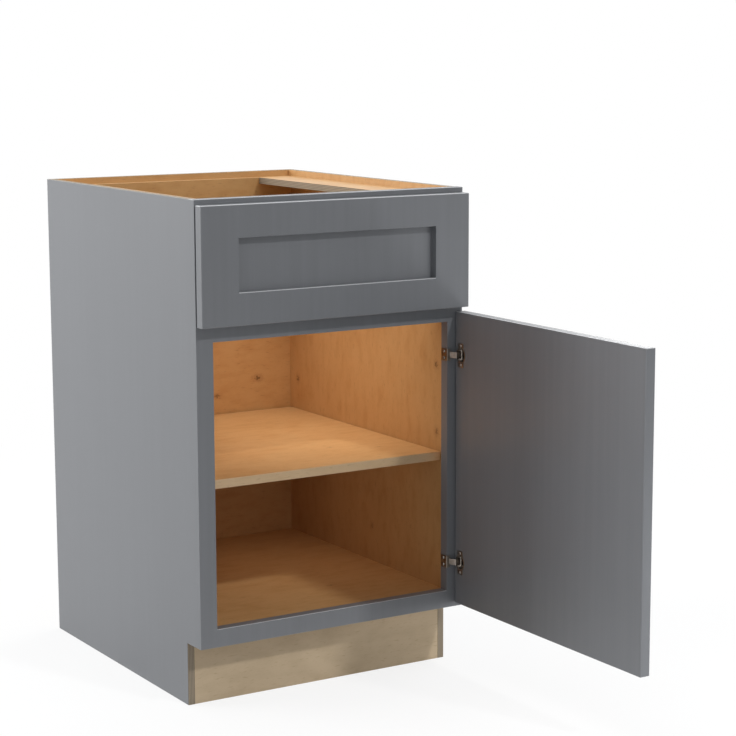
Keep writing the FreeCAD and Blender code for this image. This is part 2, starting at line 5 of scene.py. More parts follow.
import bmesh
import bpy
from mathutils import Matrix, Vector


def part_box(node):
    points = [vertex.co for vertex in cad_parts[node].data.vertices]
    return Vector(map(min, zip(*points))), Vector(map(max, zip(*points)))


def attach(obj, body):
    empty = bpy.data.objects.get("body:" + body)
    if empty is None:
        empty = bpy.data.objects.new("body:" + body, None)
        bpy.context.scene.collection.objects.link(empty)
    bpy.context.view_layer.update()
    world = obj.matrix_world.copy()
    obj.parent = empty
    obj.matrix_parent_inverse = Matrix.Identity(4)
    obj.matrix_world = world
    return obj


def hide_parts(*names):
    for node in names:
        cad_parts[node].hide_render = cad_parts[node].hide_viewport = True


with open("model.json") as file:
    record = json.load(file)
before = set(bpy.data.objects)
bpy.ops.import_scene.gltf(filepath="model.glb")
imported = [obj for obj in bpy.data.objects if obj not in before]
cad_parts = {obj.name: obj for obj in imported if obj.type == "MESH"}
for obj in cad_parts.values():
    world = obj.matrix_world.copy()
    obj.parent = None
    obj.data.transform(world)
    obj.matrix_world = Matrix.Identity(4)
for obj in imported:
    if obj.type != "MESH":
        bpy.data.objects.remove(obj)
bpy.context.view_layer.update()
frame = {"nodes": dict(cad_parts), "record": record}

# Looks of the kitchen base cabinet: boards with eased arrises, paint, birch, plywood edges and
# small hardware, then the pale floor, the lamps and the camera.
# Every length is in metres. X runs across the width, Y towards the wall and Z up.

MM = 0.001
AXES = {"X": 0, "Y": 1, "Z": 2}
TOUCH = 0.02 * MM  # an edge this near to a plane lies in it
MERGE = 0.002 * MM  # points this near to each other are one point
FLAT_ANGLE = math.radians(1.0)
SHARP_ANGLE = math.radians(32.0)
SQUARE_FACE = 0.995  # least share of one axis in the normal of a face that is no arris
GRAIN_SHIFT_ALONG, GRAIN_SHIFT_ACROSS = 0.73, 0.37  # from each piece to the next

# Width of the eased arris on each kind of part
ARRIS = {"front": 1.4 * MM, "frame": 0.7 * MM, "plywood": 0.45 * MM, "drawer": 0.8 * MM,
         "insert": 0.5 * MM, "seam": 0.015 * MM, "steel": 0.35 * MM, "plastic": 0.5 * MM}

body_of = {node: body for body, nodes in frame["record"]["behaviour"]["bodies"].items()
           for node in nodes}
piece_numbers = itertools.count(1)


# Nodes

def put(tree, kind, inputs=None, **settings):
    """One node. An input is a plain value or the socket of another node."""
    node = tree.nodes.new(kind)
    for key, value in settings.items():
        setattr(node, key, value)
    for key, value in (inputs or {}).items():
        if isinstance(value, bpy.types.NodeSocket):
            tree.links.new(value, node.inputs[key])
        else:
            node.inputs[key].default_value = value
    return node


def reckon(tree, operation, first, second=0.0, third=0.0):
    """One step of arithmetic on up to three numbers."""
    inputs = {0: first, 1: second, 2: third}
    return put(tree, "ShaderNodeMath", inputs, operation=operation).outputs[0]


def times(tree, first, second):
    return reckon(tree, "MULTIPLY", first, second)


def weigh(tree, first, first_share, second, second_share):
    """Two numbers added up, each by its own share."""
    return reckon(tree, "MULTIPLY_ADD", first, first_share, times(tree, second, second_share))


def stretched(tree, place, stretch):
    inputs = {0: place, 1: stretch}
    return put(tree, "ShaderNodeVectorMath", inputs, operation="MULTIPLY").outputs[0]


def length_of(tree, place):
    return put(tree, "ShaderNodeVectorMath", {0: place}, operation="LENGTH").outputs["Value"]


def axes_of(tree, place):
    return put(tree, "ShaderNodeSeparateXYZ", {0: place}).outputs


def join_axes(tree, x, y, z):
    return put(tree, "ShaderNodeCombineXYZ", {0: x, 1: y, 2: z}).outputs[0]


def object_place(tree):
    return put(tree, "ShaderNodeTexCoord").outputs["Object"]


# Patterns that follow the grain: how much each is stretched along, across and through the board,
# its detail and its roughness
PATTERNS = {
    "paint grain": ((26.0, 760.0, 760.0), 2.0, 0.6),
    "growth": ((1.6, 6.5, 6.5), 1.5, 0.45),
    "flame": ((21.0, 58.0, 58.0), 4.0, 0.5),
    "fibre": ((26.0, 820.0, 820.0), 3.0, 0.62),
    "pore": ((130.0, 2400.0, 2400.0), 1.0, 0.5),
    "dash": ((70.0, 300.0, 300.0), 1.0, 0.5),
    "patch": ((10.0, 13.0, 13.0), 5.0, 0.66),
    "ply sway": ((9.0, 9.0, 60.0), 1.0, 0.5),
    "edge fleck": ((900.0, 900.0, 2200.0), 2.0, 0.7),
    "saw marks": ((310.0, 310.0, 6.0), 1.0, 0.5),
    "plating haze": ((60.0, 90.0, 90.0), 4.0, 0.6),
    "nickel lines": ((40.0, 1600.0, 1600.0), 2.0, 0.6),
    "zinc lines": ((18.0, 1300.0, 1300.0), 2.0, 0.6),
    "screw lines": ((300.0, 300.0, 300.0), 2.0, 0.6),
    "spark grain": ((1500.0, 1500.0, 1500.0), 2.0, 0.5),
    "flow": ((70.0, 120.0, 120.0), 2.0, 0.5),
}


def cloud(tree, place, scale=1.0, detail=2.0, roughness=0.5):
    inputs = {"Vector": place, "Scale": scale, "Detail": detail, "Roughness": roughness}
    return put(tree, "ShaderNodeTexNoise", inputs).outputs[0]


def board_place(tree):
    """The board's own lengths along, across and through."""
    return put(tree, "ShaderNodeAttribute", attribute_name="board").outputs["Vector"]


def pattern(tree, name):
    """One of the patterns that follow the grain."""
    stretch, detail, roughness = PATTERNS[name]
    place = stretched(tree, board_place(tree), stretch)
    return cloud(tree, place, detail=detail, roughness=roughness)


def rim_share(tree):
    """1 on the arrises of a board and 0 on its faces; the finishes paint their highlights there."""
    return put(tree, "ShaderNodeAttribute", attribute_name="rim").outputs["Fac"]


def between(tree, share, low, high):
    """A number between two limits, by a share from 0 to 1."""
    inputs = {"Value": share, "To Min": low, "To Max": high}
    return put(tree, "ShaderNodeMapRange", inputs).outputs[0]


def band(tree, value, start, end, low=0.0, high=1.0):
    """A smooth step from low to high, while a value goes from start to end."""
    inputs = {"Value": value, "From Min": start, "From Max": end, "To Min": low, "To Max": high}
    return put(tree, "ShaderNodeMapRange", inputs, interpolation_type="SMOOTHSTEP").outputs[0]


def add_marks(tree, tone, marks, strength, drop):
    """A tone with marks added, lowered first so that it stays as deep as a whole."""
    return reckon(tree, "MULTIPLY_ADD", marks, strength, reckon(tree, "SUBTRACT", tone, drop))


def shade(colour, share, lift=0.0):
    """A plain colour made deeper or paler."""
    return tuple(min(1.0, channel * share + lift) for channel in colour)


def tint(tree, share, first, second):
    """A colour between two colours, each a plain colour or a socket."""
    node = put(tree, "ShaderNodeMix", data_type="RGBA")
    # In a mix of colours the share is input 0, the colours are 6 and 7, and the result is output 2
    for number, value in ((0, share), (6, first), (7, second)):
        socket = node.inputs[number]
        if isinstance(value, bpy.types.NodeSocket):
            tree.links.new(value, socket)
        elif isinstance(value, float):
            socket.default_value = value
        else:
            socket.default_value = (*value, 1.0)
    return node.outputs[2]


def relief(tree, height, strength, depth):
    inputs = {"Height": height, "Strength": strength, "Distance": depth}
    return put(tree, "ShaderNodeBump", inputs).outputs[0]


# Finishes

def start_finish(name):
    """A new material with its tree and its one shader."""
    material = bpy.data.materials.new(name)
    material.use_nodes = True
    return material, material.node_tree, material.node_tree.nodes["Principled BSDF"]


def cover(tree, shader, colour, roughness, normal):
    """Gives a finish its colour, its roughness and its relief."""
    for label, socket in (("Base Color", colour), ("Roughness", roughness), ("Normal", normal)):
        tree.links.new(socket, shader.inputs[label])


PAINT = (0.2, 0.206, 0.219)
# Colour of the painted highlight on the upper arrises of the paint, where light from above falls on
# them
PAINT_TOP_HIGHLIGHT = (0.72, 0.73, 0.74)
UPRIGHT_STREAKS = (62.0, 62.0, 1.7)
MOST_CONTRAST = 0.36  # of the colour, to either side, at a grain share of 1


def satin_paint(name, colour, grain_share):
    """Satin paint: soft upright streaks, a fine peel, a faint grain and a painted highlight on the
    upper arrises.
    """
    material, tree, shader = start_finish(name)
    here = object_place(tree)
    streaks = cloud(tree, stretched(tree, here, UPRIGHT_STREAKS), detail=3.0, roughness=0.6)
    mottle = weigh(tree, streaks, 0.6, cloud(tree, here, scale=5.0, detail=3.0), 0.4)
    peel = cloud(tree, here, scale=520.0, detail=1.0)
    grain = pattern(tree, "paint grain")
    contrast = MOST_CONTRAST * grain_share
    coat = tint(tree, mottle, shade(colour, 1.0 - contrast), shade(colour, 1.0 + contrast))
    upward = axes_of(tree, put(tree, "ShaderNodeNewGeometry").outputs["Normal"])[2]
    # Painted highlight: the arrises are painted pale as if lit from above, fully where they face up
    # and faintly elsewhere
    top_highlight = times(tree, rim_share(tree), band(tree, upward, 0.1, 0.7, low=0.12))
    uneven = weigh(tree, grain, 0.35, mottle, 0.65)
    height = weigh(tree, grain, grain_share, peel, 0.6)
    cover(tree, shader, tint(tree, top_highlight, coat, PAINT_TOP_HIGHLIGHT),
          between(tree, uneven, low=0.34, high=0.48),
          relief(tree, height, strength=0.22, depth=0.12 * MM))
    return material


KNOT_STRETCH = (0.55, 1.0, 0.8)
# In sizes of the knot: how ragged it is, where its ring and its core begin, and where both are full
KNOT_RAGGED, KNOT_RING, KNOT_CORE, KNOT_FULL = 2.2, 3.2, 1.8, 1.3


def add_knots(tree, wood, knots, dark):
    """Pin knots, each a ragged dark ring round a darker core."""
    here = object_place(tree)
    ragged = cloud(tree, here, scale=260.0, detail=2.0)
    darker = shade(dark, 0.35)
    for spot, size, depth in knots:
        inputs = {0: here, 1: spot}
        away = put(tree, "ShaderNodeVectorMath", inputs, operation="SUBTRACT").outputs[0]
        away = length_of(tree, stretched(tree, away, KNOT_STRETCH))
        away = reckon(tree, "MULTIPLY_ADD", ragged, size * KNOT_RAGGED, away)
        ring = band(tree, away, size * KNOT_RING, size * KNOT_FULL, high=0.4 * depth)
        core = band(tree, away, size * KNOT_CORE, size * KNOT_FULL, high=0.7 * depth)
        wood = tint(tree, core, tint(tree, ring, wood, dark), darker)
    return wood


GROWTH_RINGS = 90.0
MOST_FIGURE = 0.14


def birch(name, pale, warm, dark, gloss, figure=0.5, fleck=0.3, knots=(), strip=None):
    """Birch: wandering growth figure, flames, fibres, soft patches, pores, dashes and pin knots."""
    material, tree, shader = start_finish(name)
    growth = reckon(tree, "SINE", times(tree, pattern(tree, "growth"), GROWTH_RINGS))
    rings = band(tree, growth, -1.0, 1.0)
    flame = band(tree, pattern(tree, "flame"), 0.42, 0.72)
    fibre = pattern(tree, "fibre")
    pore = pattern(tree, "pore")
    tone = weigh(tree, rings, MOST_FIGURE * figure, pattern(tree, "patch"), 0.8)
    tone = add_marks(tree, tone, flame, strength=fleck, drop=0.17)
    tone = add_marks(tree, tone, fibre, strength=0.15, drop=0.025)
    if strip:
        across = axes_of(tree, board_place(tree))[1]
        number = reckon(tree, "FLOOR", reckon(tree, "DIVIDE", across, strip))
        own = put(tree, "ShaderNodeTexWhiteNoise", {"W": number}, noise_dimensions="1D").outputs[0]
        tone = add_marks(tree, tone, own, strength=0.45, drop=0.2)
    wood = tint(tree, band(tree, tone, 0.1, 0.9), pale, warm)
    wood = tint(tree, band(tree, pore, 0.62, 0.82, high=0.35), wood, dark)
    wood = tint(tree, band(tree, pattern(tree, "dash"), 0.6, 0.78, high=0.3), wood, dark)
    if knots:
        wood = add_knots(tree, wood, knots, dark)
    # Painted highlight: the arrises are painted paler, as if catching the light
    wood = tint(tree, times(tree, rim_share(tree), 0.3), wood, pale)
    height = reckon(tree, "MULTIPLY_ADD", pore, -0.5, fibre)
    cover(tree, shader, wood, between(tree, fibre, low=gloss - 0.06, high=gloss + 0.1),
          relief(tree, height, strength=0.18, depth=0.12 * MM))
    return material


PLY = 1.41 * MM


def plywood_edge(name, long_ply, end_ply):
    """A sawn plywood edge: plies that turn pale and dark, with end pores and saw marks."""
    material, tree, shader = start_finish(name)
    pairs_of_plies = reckon(tree, "DIVIDE", axes_of(tree, board_place(tree))[2], 2.0 * PLY)
    layer = reckon(tree, "MULTIPLY_ADD", pattern(tree, "ply sway"), 0.18, pairs_of_plies)
    turn = band(tree, reckon(tree, "SINE", times(tree, layer, math.tau)), -0.35, 0.35)
    fleck = pattern(tree, "edge fleck")
    long_side = tint(tree, fleck, long_ply, shade(long_ply, 0.86))
    end_side = tint(tree, fleck, end_ply, shade(end_ply, 0.62))
    wood = tint(tree, turn, long_side, end_side)
    sawn = band(tree, pattern(tree, "saw marks"), 0.4, 0.8, high=0.22)
    cover(tree, shader, tint(tree, sawn, wood, end_ply), between(tree, fleck, low=0.6, high=0.85),
          relief(tree, fleck, strength=0.35, depth=0.15 * MM))
    return material


def plated_steel(name, colour, tarnish, low, high, lines):
    """Plated steel: fine lines along the strip, cloudy plating and painted highlights on the
    arrises.
    """
    material, tree, shader = start_finish(name)
    shader.inputs["Metallic"].default_value = 1.0
    lines = pattern(tree, lines)
    haze = pattern(tree, "plating haze")
    metal = tint(tree, band(tree, haze, 0.35, 0.75), colour, tarnish)
    # Painted highlight: the arrises are painted brighter, as if catching the light
    metal = tint(tree, times(tree, rim_share(tree), 0.6), metal, shade(colour, 1.2))
    uneven = weigh(tree, haze, 0.5, lines, 0.5)
    cover(tree, shader, metal, between(tree, uneven, low, high),
          relief(tree, lines, strength=0.25, depth=0.03 * MM))
    return material


def moulded_plastic(name, colour, gloss):
    """Moulded plastic: a spark-eroded grain, slight flow marks and a painted highlight on its
    edges.
    """
    material, tree, shader = start_finish(name)
    flow = pattern(tree, "flow")
    body = tint(tree, flow, shade(colour, 0.88), colour)
    # Painted highlight: the edges are painted paler, as if catching the light
    body = tint(tree, times(tree, rim_share(tree), 0.5), body, shade(colour, 1.15, lift=0.02))
    cover(tree, shader, body, between(tree, flow, low=gloss - 0.06, high=gloss + 0.08),
          relief(tree, pattern(tree, "spark grain"), strength=0.3, depth=0.04 * MM))
    return material


# Knots of the birch faces: place, size and depth
BACK_KNOTS = [((-0.120, 0.0, 0.560), 5.0 * MM, 0.8), ((0.140, 0.0, 0.240), 4.5 * MM, 0.8)]
KNOTS = [((0.174, -0.013, 0.458), 5.0 * MM, 1.0), ((0.081, -0.013, 0.430), 4.0 * MM, 0.9),
         ((0.249, -0.045, 0.455), 6.5 * MM, 1.0), ((0.249, -0.552, 0.551), 6.5 * MM, 0.9),
         ((0.249, -0.554, 0.427), 6.5 * MM, 0.9), ((0.249, -0.330, 0.205), 5.0 * MM, 0.5),
         ((0.086, -0.446, 0.137), 4.0 * MM, 0.8), ((0.099, -0.427, 0.393), 3.2 * MM, 0.7),
         ((0.178, -0.470, 0.393), 3.0 * MM, 0.5), ((-0.150, -0.210, 0.393), 4.0 * MM, 0.6),
         ((-0.254, -0.310, 0.300), 5.0 * MM, 0.8), ((-0.254, -0.160, 0.620), 4.0 * MM, 0.7),
         *BACK_KNOTS]
STRIP_WIDTH = 6.3 * MM

finishes = {
    "side paint": satin_paint("Satin grey paint on plywood", PAINT, grain_share=0.25),
    "frame paint": satin_paint("Satin grey paint on the face frame", PAINT, grain_share=0.45),
    "front paint": satin_paint("Satin grey paint on the fronts", PAINT, grain_share=0.4),
    "lacquered birch": birch(
        "Lacquered birch plywood", pale=(0.64, 0.385, 0.165), warm=(0.53, 0.28, 0.1),
        dark=(0.3, 0.135, 0.045), gloss=0.4, figure=0.35, fleck=0.24, knots=KNOTS),
    "raw birch": birch(
        "Raw birch plywood", pale=(0.62, 0.485, 0.325), warm=(0.5, 0.38, 0.24),
        dark=(0.33, 0.21, 0.1), gloss=0.62, figure=1.0, fleck=0.15, knots=BACK_KNOTS),
    "bare hardwood": birch(
        "Bare hardwood", pale=(0.62, 0.47, 0.3), warm=(0.5, 0.35, 0.2),
        dark=(0.32, 0.2, 0.1), gloss=0.6, figure=0.5, fleck=0.15),
    "edge band": birch(
        "Birch edge band", pale=(0.72, 0.51, 0.3), warm=(0.61, 0.41, 0.22),
        dark=(0.33, 0.19, 0.08), gloss=0.45, figure=0.2, fleck=0.15),
    "drawer birch": birch(
        "Solid birch of the drawer", pale=(0.72, 0.53, 0.32), warm=(0.6, 0.405, 0.2),
        dark=(0.38, 0.22, 0.09), gloss=0.38, figure=0.8),
    "insert birch": birch(
        "Solid birch of the knife insert", pale=(0.76, 0.57, 0.35), warm=(0.65, 0.45, 0.235),
        dark=(0.34, 0.18, 0.07), gloss=0.42, figure=0.9, fleck=0.2),
    "insert strips": birch(
        "Glued birch strips of the knife block", pale=(0.76, 0.57, 0.35),
        warm=(0.62, 0.425, 0.215), dark=(0.4, 0.24, 0.1), gloss=0.45, figure=0.3, fleck=0.15,
        strip=STRIP_WIDTH),
    "plywood edge": plywood_edge(
        "Sawn plywood edge", long_ply=(0.41, 0.34, 0.25), end_ply=(0.27, 0.215, 0.155)),
    "nickel": plated_steel(
        "Nickel plated steel", colour=(0.34, 0.305, 0.27), tarnish=(0.2, 0.172, 0.145),
        low=0.28, high=0.48, lines="nickel lines"),
    "zinc": plated_steel(
        "Zinc plated steel", colour=(0.66, 0.68, 0.7), tarnish=(0.52, 0.54, 0.56),
        low=0.28, high=0.5, lines="zinc lines"),
    "screw zinc": plated_steel(
        "Zinc plated screws", colour=(0.36, 0.35, 0.33), tarnish=(0.22, 0.2, 0.18),
        low=0.25, high=0.45, lines="screw lines"),
    "roller nylon": moulded_plastic("Roller nylon", (0.78, 0.78, 0.74), gloss=0.42),
    "cage plastic": moulded_plastic("Roller cage plastic", (0.035, 0.035, 0.038), gloss=0.5),
    "clip plastic": moulded_plastic("Drawer clip plastic", (0.11, 0.115, 0.125), gloss=0.48),
    "lever plastic": moulded_plastic("Release lever plastic", (0.52, 0.09, 0.02), gloss=0.4),
}


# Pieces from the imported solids

def opened(mesh):
    """A mesh opened for work on its faces, with the points that lie on each other joined."""
    shape = bmesh.new()
    shape.from_mesh(mesh)
    bmesh.ops.remove_doubles(shape, verts=shape.verts, dist=MERGE)
    return shape


def write_back(shape, mesh):
    shape.to_mesh(mesh)
    shape.free()


def merged_solid(node):
    """The node's own shape with its loose triangles joined and its flat faces made whole."""
    shape = opened(frame["nodes"][node].data)
    bmesh.ops.dissolve_limit(shape, angle_limit=FLAT_ANGLE, verts=shape.verts, edges=shape.edges)
    return shape


def limits(points):
    return (Vector([min(point[axis] for point in points) for axis in range(3)]),
            Vector([max(point[axis] for point in points) for axis in range(3)]))


def outline(*nodes):
    """The limits of several nodes together."""
    return limits([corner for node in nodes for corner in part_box(node)])


def lies_in(ends, axis, value):
    return all(abs(end[axis] - value) < TOUCH for end in ends)


def ease_edges(shape, low, high, arris, seams, whole, everywhere):
    """Marks each edge with the share of the arris it is rounded by.

    Only the edges on two of the board's own limits are eased, or all sharp ones with everywhere.
    Edges in the plane of a seam get a hairline. Whole is the back and the box of a front made of
    several boards: its back stays sharp inside the box, so that the boards are flush there.
    """
    weight = shape.edges.layers.float.new("bevel_weight_edge")
    for edge in shape.edges:
        if (len(edge.link_faces) != 2 or not edge.is_convex
                or edge.calc_face_angle(0.0) < SHARP_ANGLE):
            continue
        ends = [vertex.co for vertex in edge.verts]
        limits_met = sum(lies_in(ends, axis, limit[axis])
                         for axis in range(3) for limit in (low, high))
        if whole:
            axis, back, outer_low, outer_high = whole
            rim = any(lies_in(ends, k, limit[k]) for k in range(3) if k != axis
                      for limit in (outer_low, outer_high))
            if lies_in(ends, axis, back) and not rim:
                continue
        if any(lies_in(ends, axis, value) for axis, value in seams):
            edge[weight] = min(1.0, ARRIS["seam"] / arris)
        elif everywhere or limits_met >= 2:
            edge[weight] = 1.0


def bake_modifier(mesh, name, kind, settings, sockets):
    """Applies one modifier to a mesh and returns the result as a plain mesh."""
    holder = bpy.data.objects.new(name, mesh)
    bpy.context.scene.collection.objects.link(holder)
    modifier = holder.modifiers.new(kind, kind)
    for key, value in settings.items():
        setattr(modifier, key, value)
    for key, value in sockets.items():
        modifier[key] = value
    evaluated = holder.evaluated_get(bpy.context.evaluated_depsgraph_get())
    result = bpy.data.meshes.new_from_object(evaluated)
    bpy.data.objects.remove(holder)
    return result


def round_edges(mesh, name, width, segments=2):
    """Rounds the marked edges and drops the faces without area that the rounding leaves."""
    settings = {"width": width, "segments": segments, "limit_method": "WEIGHT",
                "use_clamp_overlap": True, "offset_type": "OFFSET"}
    mesh = bake_modifier(mesh, name, "BEVEL", settings, {})
    shape = opened(mesh)
    bmesh.ops.dissolve_degenerate(shape, edges=shape.edges, dist=MERGE)
    write_back(shape, mesh)
    return mesh


def write_board_places(mesh, along, low, high, shift, square):
    """Stores each point's length along, across and through its board, and where the arrises are."""
    extent = high - low
    others = [axis for axis in range(3) if axis != along]
    across, through = sorted(others, key=lambda axis: -extent[axis])
    place = mesh.attributes.new("board", "FLOAT_VECTOR", "POINT")
    for index, vertex in enumerate(mesh.vertices):
        own = vertex.co - low
        place.data[index].vector = (own[along] + shift * GRAIN_SHIFT_ALONG,
                                    own[across] + shift * GRAIN_SHIFT_ACROSS, own[through])
    rim = mesh.attributes.new("rim", "FLOAT", "CORNER")
    for face in mesh.polygons:
        slanted = square and max(abs(part) for part in face.normal) < SQUARE_FACE
        for corner in face.loop_indices:
            rim.data[corner].value = 1.0 if slanted else 0.0


def smooth_over(mesh):
    """Smooth shading that stops at the sharp edges."""
    mesh.shade_smooth()
    mesh.set_sharp_from_angle(angle=SHARP_ANGLE)


def settle(mesh, node):
    """Turns a finished mesh into the piece that rides on its node's body and stands for it."""
    piece = bpy.data.objects.new(node + "_finished", mesh)
    bpy.context.scene.collection.objects.link(piece)
    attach(piece, body_of[node])
    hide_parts(node)


def dress(node, along, skin, skins=None, edges=None, arris="plywood", seams=(), whole=None,
          everywhere=False, smooth=False, segments=2):
    """Makes the finished piece of a node, with eased edges and its own grain along an axis.

    The finish is skin, but edges on all sides round the two faces, and skins on single sides.
    """
    low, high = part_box(node)
    extent = high - low
    shape = merged_solid(node)
    ease_edges(shape, low, high, ARRIS[arris], seams, whole, everywhere)
    through = min(range(3), key=lambda axis: extent[axis])
    names = [skin]
    for face in shape.faces:
        finish = skin
        axis = max(range(3), key=lambda k: abs(face.normal[k]))
        if edges and axis != through:
            finish = edges
        side = ("+" if face.normal[axis] > 0 else "-") + "XYZ"[axis]
        if skins and side in skins:
            finish = skins[side]
        if finish not in names:
            names.append(finish)
        face.material_index = names.index(finish)
    mesh = bpy.data.meshes.new(node)
    write_back(shape, mesh)
    for name in names:
        mesh.materials.append(finishes[name])
    mesh = round_edges(mesh, node + "_blank", ARRIS[arris], segments)
    write_board_places(mesh, AXES[along], low, high, next(piece_numbers), not smooth)
    if smooth:
        smooth_over(mesh)
    settle(mesh, node)


def dress_front(name, sides, width_axis, back_axis, back_limit):
    """A framed front: stiles and rails with soft outer arrises, and a thin panel flush behind."""
    stiles = [name + "_stile_" + side for side in sides]
    rails = [name + "_rail_top", name + "_rail_bottom"]
    panel = name + "_panel"
    box = outline(*stiles, *rails, panel)
    whole = (AXES[back_axis], box[back_limit][AXES[back_axis]], *box)
    across = AXES[width_axis]
    centre = (box[0][across] + box[1][across]) / 2
    joints = []
    for stile in stiles:
        rims = [corner[across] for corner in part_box(stile)]
        joints.append((across, min(rims, key=lambda place: abs(place - centre))))
    for parts, along in ((stiles, "Z"), (rails, width_axis)):
        for part in parts:
            dress(part, along, "front paint", arris="front", seams=joints, whole=whole, segments=3)
    dress(panel, "Z", "front paint", arris="seam", whole=whole)


# Carcass: the sides meet the back of the face frame in a seam
frame_back = [(AXES["Y"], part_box("frame_stile_left")[1][1])]
for name, outside, inside in (("left", "-X", "+X"), ("right", "+X", "-X")):
    dress("side_panel_" + name, "Z", "plywood edge",
          {outside: "side paint", inside: "lacquered birch"}, seams=frame_back)
dress("back_panel", "X", "lacquered birch", {"+Y": "raw birch"}, edges="plywood edge")
dress("bottom_panel", "X", "lacquered birch", {"-Z": "raw birch"}, edges="plywood edge")
dress("toe_board", "X", "raw birch", edges="plywood edge")
dress("hanging_rail", "X", "lacquered birch")
for name in ("left", "right"):
    dress("top_brace_" + name, "Y", "lacquered birch", edges="plywood edge")
dress("shelf", "X", "lacquered birch", {"-Y": "edge band"}, edges="plywood edge")

# Face frame: the rails end at the stiles, with a hairline between them
stile_edges = frame_back + [(AXES["X"], corner[0]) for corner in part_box("frame_rail_top")]
for name, along in (("stile_left", "Z"), ("stile_right", "Z"), ("rail_top", "X"),
                    ("rail_middle", "X"), ("rail_bottom", "X")):
    dress("frame_" + name, along, "frame paint", {"+Y": "bare hardwood"}, arris="frame",
          seams=stile_edges)

# Drawer front, and the door as it stands open with its back towards -X
dress_front("drawer_front", ("left", "right"), "X", "Y", back_limit=1)
dress_front("door", ("hinge", "latch"), "Y", "X", back_limit=0)

# Drawer box
for name in ("left", "right"):
    dress("drawer_side_" + name, "Y", "drawer birch", arris="drawer")
for name in ("front", "back"):
    dress("drawer_box_" + name, "X", "drawer birch", arris="drawer")
dress("drawer_bottom", "X", "lacquered birch", edges="plywood edge")

# Knife insert, without its block
for name in ("base", "fence"):
    dress("knife_insert_" + name, "X", "insert birch", arris="insert")

# Hinges, slides and clips
for name in ("lower", "upper"):
    dress("hinge_cup_" + name, "Z", "nickel", arris="steel", everywhere=True, smooth=True)
    dress("hinge_arm_" + name, "Y", "nickel", arris="steel", everywhere=True, smooth=True)
dress("hinge_pins", "Z", "nickel", arris="steel", everywhere=True, smooth=True)
dress("shelf_pins", "X", "nickel", arris="plastic", everywhere=True, smooth=True)
for name in ("left", "right"):
    for member in ("cabinet", "middle", "drawer"):
        dress("slide_" + member + "_member_" + name, "Y", "zinc", arris="steel", everywhere=True)
    for part, plastic in (("drawer_clip_", "clip plastic"), ("clip_lever_", "lever plastic")):
        dress(part + name, "Y", plastic, arris="plastic", everywhere=True, smooth=True)
dress("slide_rear_brackets", "X", "zinc", arris="steel", everywhere=True)
for name in ("outer", "inner"):
    dress("roller_cages_" + name, "Y", "cage plastic", arris="seam", everywhere=True)


# Repeated pieces, made by node recipes

SPIN_SEED = 7
FINGER_SEED = 11

# Steps of turned shapes: how far each goes, as a share of the head's height or the roller's
# length, and its scale. The head's rim and the roller's body make up the rest.
HEAD_HEIGHT = 1.4 * MM
HEAD_RIM = 0.35
CROWN = ((0.3, 0.93), (0.2, 0.86), (0.15, 0.72))
ROLLER_BODY = 0.2
ROLLER_END = ((0.02, 0.93), (0.33, 1.0), (0.02, 1.0 / 0.93), (0.01, 0.94), (0.02, 0.8))

# Scales of a shank's equal steps
THREAD = (0.8, 1.25) * 11
POINT = (0.7, 0.3)

HEAD_REACH = 0.97  # points further out than this share of the widest radius are on the head
FINGER_NOSE = 18.0 * MM
SPACER_NOSE = 0.5 * MM
NOSE_STEPS = 10
CUT_APART = 3.0  # most that one finger's grain lies further along than another's


def start_recipe(name, sizes):
    """A node recipe: seats and one named input for each size go in, and a mesh comes out."""
    recipe = bpy.data.node_groups.new(name, "GeometryNodeTree")
    recipe.interface.new_socket("Seats", in_out="INPUT", socket_type="NodeSocketGeometry")
    kinds = {int: "NodeSocketInt", float: "NodeSocketFloat"}
    for label, value in sizes.items():
        kind = kinds.get(type(value), "NodeSocketMaterial")
        socket = recipe.interface.new_socket(label, in_out="INPUT", socket_type=kind)
        socket.default_value = value
    recipe.interface.new_socket("Mesh", in_out="OUTPUT", socket_type="NodeSocketGeometry")
    return recipe, put(recipe, "NodeGroupInput").outputs, put(recipe, "NodeGroupOutput")


def run_recipe(recipe, seats, name, sizes):
    """Runs a recipe on a mesh of seats, with its sizes set by their sockets."""
    socket_of = {item.name: item.identifier for item in recipe.interface.items_tree
                 if item.in_out == "INPUT"}
    sockets = {socket_of[label]: value for label, value in sizes.items()}
    return bake_modifier(seats, name, "NODES", {"node_group": recipe}, sockets)


def blank(tree, corners, radius, depth):
    """A round blank: its mesh, its top and its bottom."""
    inputs = {"Vertices": corners, "Side Segments": 1, "Fill Segments": 1, "Radius": radius,
              "Depth": depth}
    made = put(tree, "GeometryNodeMeshCylinder", inputs, fill_type="NGON").outputs
    return made["Mesh"], made["Top"], made["Bottom"]


def turned(tree, solid, face, steps):
    """Grows a turned shape from a round face: each step goes out by a length and is scaled."""
    for length, scale in steps:
        grown = put(tree, "GeometryNodeExtrudeMesh",
                    {"Mesh": solid, "Selection": face, "Offset": join_axes(tree, 0.0, 0.0, length),
                     "Offset Scale": 1.0, "Individual": False}, mode="FACES").outputs
        face = grown["Top"]
        solid = put(tree, "GeometryNodeScaleElements",
                    {"Geometry": grown["Mesh"], "Selection": face, "Scale": scale}).outputs[0]
    return solid


def raised(tree, solid, height):
    inputs = {"Geometry": solid, "Translation": join_axes(tree, 0.0, 0.0, height)}
    return put(tree, "GeometryNodeTransform", inputs).outputs[0]


def copies(tree, points, shape, **turn):
    inputs = {"Points": points, "Instance": shape, **turn}
    return put(tree, "GeometryNodeInstanceOnPoints", inputs).outputs[0]


def made_real(tree, placed):
    return put(tree, "GeometryNodeRealizeInstances", {0: placed}).outputs[0]


def own_chance(tree, seed):
    """A number from 0 to 1 for each seat, the same in every run."""
    inputs = {"Min": 0.0, "Max": 1.0, "Seed": seed}
    return put(tree, "FunctionNodeRandomValue", inputs, data_type="FLOAT").outputs[1]


